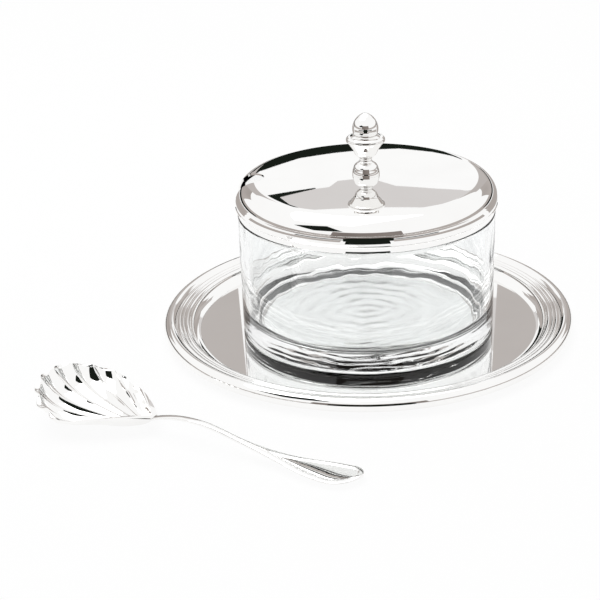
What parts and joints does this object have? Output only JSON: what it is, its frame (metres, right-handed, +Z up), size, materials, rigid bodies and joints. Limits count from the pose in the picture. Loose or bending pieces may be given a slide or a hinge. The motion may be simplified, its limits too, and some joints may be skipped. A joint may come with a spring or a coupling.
{
  "type": "cheese server",
  "caption": "Covered cheese server: clear glass bowl on a round polished tray, a domed metal lid with a turned finial and a spoon notch, and a loose shell spoon.",
  "frame": {"origin": "centre of the tray's flat underside, on the bowl's axis at the table", "axes": "+Z up along the bowl's axis, -X towards the spoon notch, -Y towards the front where the spoon lies"},
  "size_m": [0.2176, 0.2308, 0.096],
  "materials": {
    "tray_plate": "polished silver plate",
    "lid_plate": "polished silver plate",
    "turned_plate": "polished silver plate, turned",
    "spoon_plate": "polished silver plate, cast",
    "plain_steel": "plain steel",
    "clear_glass": "clear, fire-polished rim"
  },
  "bodies": {
    "tray": {"tray": "tray_plate"},
    "bowl": {"glass_bowl": "clear_glass"},
    "lid": {"lid_cover": "lid_plate", "lid_seat_ring": "lid_plate", "finial_knob": "turned_plate", "finial_screw": "plain_steel", "finial_washer": "plain_steel"},
    "spoon": {"spoon": "spoon_plate"}
  },
  "joints": [
    {"name": "bowl_lift", "type": "slide", "parent": "tray", "child": "bowl", "axis": [0, 0, 1], "range_m": [0, 0.12]},
    {"name": "lid_lift", "type": "slide", "parent": "bowl", "child": "lid", "axis": [0, 0, 1], "range_m": [0, 0.1]},
    {"name": "spoon_lift", "type": "slide", "parent": "tray", "child": "spoon", "axis": [0, 0, 1], "range_m": [0, 0.12]}
  ]
}
